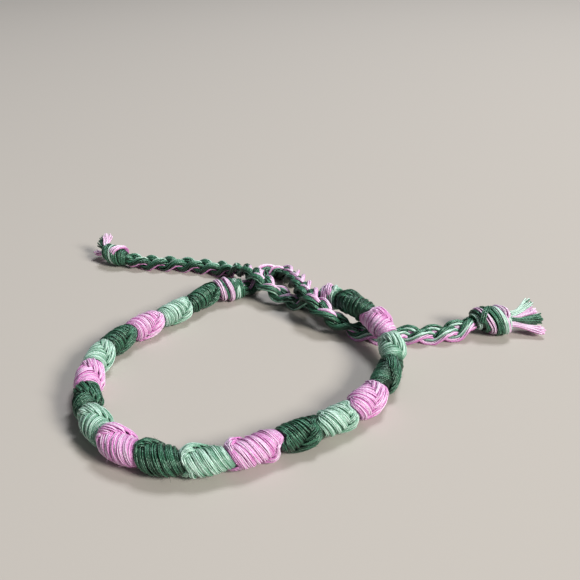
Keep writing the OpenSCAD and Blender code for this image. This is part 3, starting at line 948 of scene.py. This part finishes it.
class BRACELET_OT_plait_ties(bpy.types.Operator):
    """Plaits the two ties from three strands each"""

    bl_idname = "bracelet.plait_ties"
    bl_label = "Plait the ties"

    def execute(self, context):
        ties = [
            ("tie_left", TIE_LEFT_FROM, TIE_LEFT_TO, SWING_LEFT, TURNS_LEFT, FLOSSES_LEFT),
            ("tie_right", TIE_RIGHT_FROM, TIE_RIGHT_TO, SWING_RIGHT, TURNS_RIGHT, FLOSSES_RIGHT),
        ]
        for tie, *way_and_floss in ties:
            for third, letter in enumerate("abc"):
                plait_strand(f"{tie}_strand_{letter}", third, *way_and_floss)
        return {"FINISHED"}


def cut_ends(node, s_end, forward, locks):
    """The cut ends of the floss past an end knot, fanned out and a little frayed."""
    sizes = settings().sizes
    rng = np.random.default_rng(len(locks))
    tassel = FlossMesh()
    ahead = LINE.axes(s_end)[0][0] * forward
    root = LINE.at(s_end)[0] - ahead * LOCK_ROOT
    t = np.linspace(0, 1, LOCK_POINTS)[:, None]
    taper = np.linspace(1, LOCK_TAPER, LOCK_POINTS)[:, None, None]
    outlines = STRAND_OUTLINE * LOCK_STRAND_D / 2 * taper
    for *spot, colour in locks:
        tip = in_metres(spot)
        off = tip - root
        off = off - ahead * off.dot(ahead)
        start = root + LOCK_SPREAD * off
        for _ in range(LOCK_STRANDS):
            swing = rng.normal(0, LOCK_SWING, 3)
            astray = rng.normal(0, LOCK_STRAY, 3)
            end = tip + astray + rng.normal(0, TIP_STRAY, 3)
            end = end + ahead * rng.uniform(*CUT_LENGTHS) * MM
            end[2] = max(end[2], sizes.strand_d * TIP_REST)
            first = start + ahead * LOCK_STRAIGHT + swing
            second = end - (end - start) * LOCK_BEND + swing * LOCK_SWING_GROWTH
            second[2] -= LOCK_SAG
            path = bezier(t, start + astray, first, second, end)
            path[:, 2] = np.maximum(path[:, 2], sizes.strand_d * LOCK_REST)
            tassel.sweep(path, UPWARDS, outlines, COLOURS.index(colour))
    tassel.build(f"floss_{node}", node)


class BRACELET_OT_fan_tassels(bpy.types.Operator):
    """Fans out the cut ends of the floss past both end knots"""

    bl_idname = "bracelet.fan_tassels"
    bl_label = "Fan the tassels"

    def execute(self, context):
        cut_ends("tassel_left", 0, -1, LOCKS_LEFT)
        cut_ends("tassel_right", CORD_END, 1, LOCKS_RIGHT)
        return {"FINISHED"}


class BRACELET_OT_lay_core(bpy.types.Operator):
    """Lays the bundle of floss that the band is wrapped round"""

    bl_idname = "bracelet.lay_core"
    bl_label = "Lay the core"

    def execute(self, context):
        s = np.linspace(BAND_REACH[0] + CORE_GAP, BAND_REACH[-1] - CORE_GAP, CORE_RINGS)
        _, _, above = LINE.axes(s)
        bundle = FlossMesh()
        bundle.sweep(LINE.at(s), above, turned(core_outline(), s / MM * CORE_TURN))
        bundle.build("core_floss", "core", MINT)
        return {"FINISHED"}


class BRACELET_OT_set_stage(bpy.types.Operator):
    """Lays the pale floor and sets the lights and the camera"""

    bl_idname = "bracelet.set_stage"
    bl_label = "Set the stage"

    def execute(self, context):
        bpy.ops.object.select_all(action="DESELECT")
        bpy.ops.mesh.primitive_plane_add(size=FLOOR_SIZE, location=(0, 0, 0))
        floor = bpy.context.object
        floor.name = "floor"
        # uncoated board: takes soft shadows and mirrors nothing
        material, tree = new_material("pale_matt_board")
        surface = add_node(
            tree, "ShaderNodeBsdfPrincipled",
            inputs={"Base Color": linear("#bfbab2"), "Roughness": 0.85, "Specular IOR Level": 0.2},
        )
        add_node(tree, "ShaderNodeOutputMaterial", inputs={"Surface": surface.outputs["BSDF"]})
        floor.data.materials.append(material)
        world = bpy.data.worlds.new("soft_room_light")
        context.scene.world = world
        world.use_nodes = True
        background = world.node_tree.nodes["Background"]
        background.inputs["Color"].default_value = linear("#e6ebf2")
        background.inputs["Strength"].default_value = ROOM_LIGHT
        for light in LIGHTS:
            add_area_light(*light)
        context.scene.view_settings.view_transform = "Standard"
        camera = bpy.data.cameras.new("camera")
        camera.sensor_width = SENSOR_WIDTH
        camera.lens = SENSOR_WIDTH * FOCAL_PIXELS / FRAME_PIXELS
        view = bpy.data.objects.new("camera", camera)
        context.scene.collection.objects.link(view)
        view.location = in_metres(CAMERA_PLACE)
        view.rotation_euler = (math.radians(90 - CAMERA_DOWN), 0, 0)
        camera.clip_start, camera.clip_end = CAMERA_CLIP
        context.scene.camera = view
        return {"FINISHED"}


def add_area_light(name, place, power, colour):
    """A square soft light that looks at the middle of the loop."""
    light = bpy.data.lights.new(name, "AREA")
    light.size = LIGHT_SIZE
    light.energy = power
    light.color = linear(colour)[:3]
    lamp = bpy.data.objects.new(name, light)
    bpy.context.scene.collection.objects.link(lamp)
    lamp.location = place
    lamp.rotation_euler = (-Vector(place)).to_track_quat("-Z", "Y").to_euler()


class BRACELET_PT_pieces(bpy.types.Panel):
    """Lists the bracelet's operators"""

    bl_label = "Bracelet"
    bl_idname = "BRACELET_PT_pieces"
    bl_space_type = "VIEW_3D"
    bl_region_type = "UI"
    bl_category = "Bracelet"

    def draw(self, context):
        for operator in OPERATORS:
            self.layout.operator(operator.bl_idname)


OPERATORS = [
    BRACELET_OT_set_stage, BRACELET_OT_wrap_sections, BRACELET_OT_lay_core, BRACELET_OT_tie_knots,
    BRACELET_OT_plait_ties, BRACELET_OT_fan_tassels,
]
CLASSES = [BraceletFloss, BraceletSizes, BraceletSettings, *OPERATORS, BRACELET_PT_pieces]


def register():
    """Registers the classes and adds the settings to the scene."""
    for each in CLASSES:
        bpy.utils.register_class(each)
    bpy.types.Scene.bracelet = PointerProperty(type=BraceletSettings)


def unregister():
    """Takes out what register put in."""
    del bpy.types.Scene.bracelet
    for each in reversed(CLASSES):
        bpy.utils.unregister_class(each)


def main():
    """Builds the whole scene."""
    register()
    bpy.ops.bracelet.set_stage()
    bpy.ops.bracelet.wrap_sections()
    bpy.ops.bracelet.lay_core()
    bpy.ops.bracelet.tie_knots()
    bpy.ops.bracelet.plait_ties()
    bpy.ops.bracelet.fan_tassels()


if __name__ == "__main__":
    main()
